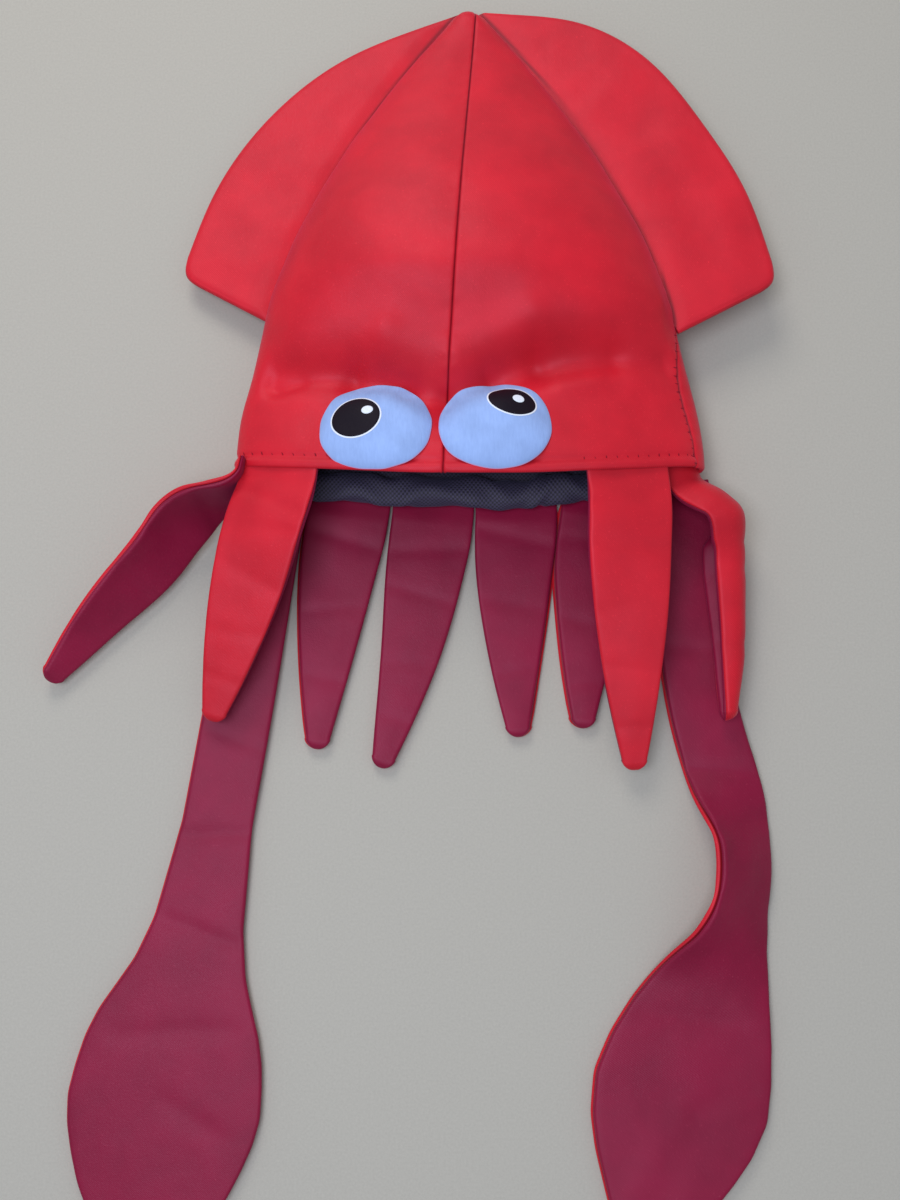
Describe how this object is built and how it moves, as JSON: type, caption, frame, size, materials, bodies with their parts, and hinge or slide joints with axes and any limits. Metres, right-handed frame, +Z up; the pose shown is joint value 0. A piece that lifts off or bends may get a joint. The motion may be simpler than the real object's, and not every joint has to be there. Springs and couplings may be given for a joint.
{
  "type": "squid costume hat",
  "caption": "Plush squid costume hat lying on its back: tapered crown with two side fins, goggle eyes, a head opening, short arms along the hem and two long tentacles with leaf-shaped clubs.",
  "frame": {"origin": "on the flat resting face of the back panels, in the middle of the head opening", "axes": "+Y from the opening towards the tip of the crown, +Z up from the surface the hat lies on, +X to the right as seen from above"},
  "size_m": [0.4424, 0.7734, 0.0828],
  "materials": {
    "red_satin": "bright red satin-faced knit on thin foam",
    "crimson_satin": "dark crimson satin-faced knit on thin foam",
    "lining_mesh": "black mesh lining",
    "hem_tape": "turned hem of the red knit",
    "eye_felt": "white felt",
    "stuffing": "polyester filling",
    "pupil_black": "black felt",
    "glint_white": "white print"
  },
  "bodies": {
    "mantle": {"crown_front_left": "red_satin", "crown_front_right": "red_satin", "crown_back_left": "red_satin", "crown_back_right": "red_satin", "lining_front": "lining_mesh", "lining_back": "lining_mesh", "hem_band_front": "hem_tape", "hem_band_back": "hem_tape", "eye_left_cover": "eye_felt", "eye_left_stuffing": "stuffing", "eye_left_pupil": "pupil_black", "eye_left_glint": "glint_white", "eye_right_cover": "eye_felt", "eye_right_stuffing": "stuffing", "eye_right_pupil": "pupil_black", "eye_right_glint": "glint_white"},
    "fin_left": {"fin_left_front_panel": "red_satin", "fin_left_back_panel": "red_satin"},
    "fin_right": {"fin_right_front_panel": "red_satin", "fin_right_back_panel": "red_satin"},
    "arm_front_left": {"arm_front_left_outer": "red_satin", "arm_front_left_inner": "crimson_satin"},
    "arm_front_right": {"arm_front_right_outer": "red_satin", "arm_front_right_inner": "crimson_satin"},
    "arm_back_1": {"arm_back_1_outer": "red_satin", "arm_back_1_inner": "crimson_satin"},
    "arm_back_2": {"arm_back_2_outer": "red_satin", "arm_back_2_inner": "crimson_satin"},
    "arm_back_3": {"arm_back_3_outer": "red_satin", "arm_back_3_inner": "crimson_satin"},
    "arm_back_4": {"arm_back_4_outer": "red_satin", "arm_back_4_inner": "crimson_satin"},
    "arm_side_left": {"arm_side_left_outer": "red_satin", "arm_side_left_inner": "crimson_satin"},
    "arm_side_right": {"arm_side_right_outer": "red_satin", "arm_side_right_inner": "crimson_satin"},
    "tentacle_left_upper": {"tentacle_left_upper_outer": "red_satin", "tentacle_left_upper_inner": "crimson_satin"},
    "tentacle_left_lower": {"tentacle_left_lower_outer": "red_satin", "tentacle_left_lower_inner": "crimson_satin"},
    "tentacle_left_club": {"tentacle_left_club_outer": "red_satin", "tentacle_left_club_inner": "crimson_satin"},
    "tentacle_right_upper": {"tentacle_right_upper_outer": "red_satin", "tentacle_right_upper_inner": "crimson_satin"},
    "tentacle_right_lower": {"tentacle_right_lower_outer": "red_satin", "tentacle_right_lower_inner": "crimson_satin"},
    "tentacle_right_club": {"tentacle_right_club_outer": "red_satin", "tentacle_right_club_inner": "crimson_satin"}
  },
  "joints": [
    {"name": "fin_left_flap", "type": "hinge", "parent": "mantle", "child": "fin_left", "pos_m": [-0.0791, 0.203, 0.0139], "axis": [0.4738, 0.8804, -0.0202], "range_deg": [0, 18]},
    {"name": "fin_right_flap", "type": "hinge", "parent": "mantle", "child": "fin_right", "pos_m": [0.0791, 0.203, 0.0218], "axis": [0.4727, -0.8786, 0.0679], "range_deg": [0, 18]},
    {"name": "arm_front_left_lift", "type": "hinge", "parent": "mantle", "child": "arm_front_left", "pos_m": [-0.112, -0.00004, 0.04905], "axis": [-0.9257, 0.1703, -0.3376], "range_deg": [0, 75]},
    {"name": "arm_front_right_lift", "type": "hinge", "parent": "mantle", "child": "arm_front_right", "pos_m": [0.091, -0.00265, 0.05513], "axis": [-0.9645, -0.1401, 0.2238], "range_deg": [0, 90]},
    {"name": "arm_back_1_lift", "type": "hinge", "parent": "mantle", "child": "arm_back_1", "pos_m": [-0.07303, -0.00365, 0.0033], "axis": [-0.9961, 0.0888, 0], "range_deg": [0, 30]},
    {"name": "arm_back_2_lift", "type": "hinge", "parent": "mantle", "child": "arm_back_2", "pos_m": [-0.02208, -0.0066, 0.0033], "axis": [-0.9996, 0.0268, 0], "range_deg": [0, 60]},
    {"name": "arm_back_3_lift", "type": "hinge", "parent": "mantle", "child": "arm_back_3", "pos_m": [0.02846, -0.00641, 0.0033], "axis": [-0.9994, -0.0346, 0], "range_deg": [0, 60]},
    {"name": "arm_back_4_lift", "type": "hinge", "parent": "mantle", "child": "arm_back_4", "pos_m": [0.08101, -0.0029, 0.0033], "axis": [-0.9951, -0.0985, 0], "range_deg": [0, 4]},
    {"name": "arm_side_left_swing", "type": "hinge", "parent": "mantle", "child": "arm_side_left", "pos_m": [-0.14168, 0.00539, 0.0293], "axis": [0, 0, -1], "range_deg": [0, 35]},
    {"name": "arm_side_right_swing", "type": "hinge", "parent": "mantle", "child": "arm_side_right", "pos_m": [0.14168, 0.00539, 0.0293], "axis": [0, 0, 1], "range_deg": [0, 50]},
    {"name": "tentacle_left_root", "type": "hinge", "parent": "mantle", "child": "tentacle_left_upper", "pos_m": [-0.119, 0.00175, 0.0034], "axis": [-0.9895, 0.1446, 0], "range_deg": [0, 2]},
    {"name": "tentacle_left_bend", "type": "hinge", "parent": "tentacle_left_upper", "child": "tentacle_left_lower", "pos_m": [-0.14893, -0.20499, 0.0034], "axis": [-0.9884, 0.152, 0], "range_deg": [0, 75]},
    {"name": "tentacle_left_neck", "type": "hinge", "parent": "tentacle_left_lower", "child": "tentacle_left_club", "pos_m": [-0.1578, -0.26129, 0.0034], "axis": [-0.9866, 0.1634, 0], "range_deg": [0, 70]},
    {"name": "tentacle_right_root", "type": "hinge", "parent": "mantle", "child": "tentacle_right_upper", "pos_m": [0.12698, 0.00296, 0.0034], "axis": [-0.988, -0.1543, 0], "range_deg": [0, 2]},
    {"name": "tentacle_right_bend", "type": "hinge", "parent": "tentacle_right_upper", "child": "tentacle_right_lower", "pos_m": [0.14525, -0.15762, 0.00362], "axis": [-0.9673, -0.2535, 0], "range_deg": [0, 75]},
    {"name": "tentacle_right_neck", "type": "hinge", "parent": "tentacle_right_lower", "child": "tentacle_right_club", "pos_m": [0.15543, -0.24263, 0.01562], "axis": [-0.7972, 0.0805, 0.5983], "range_deg": [0, 55]}
  ]
}
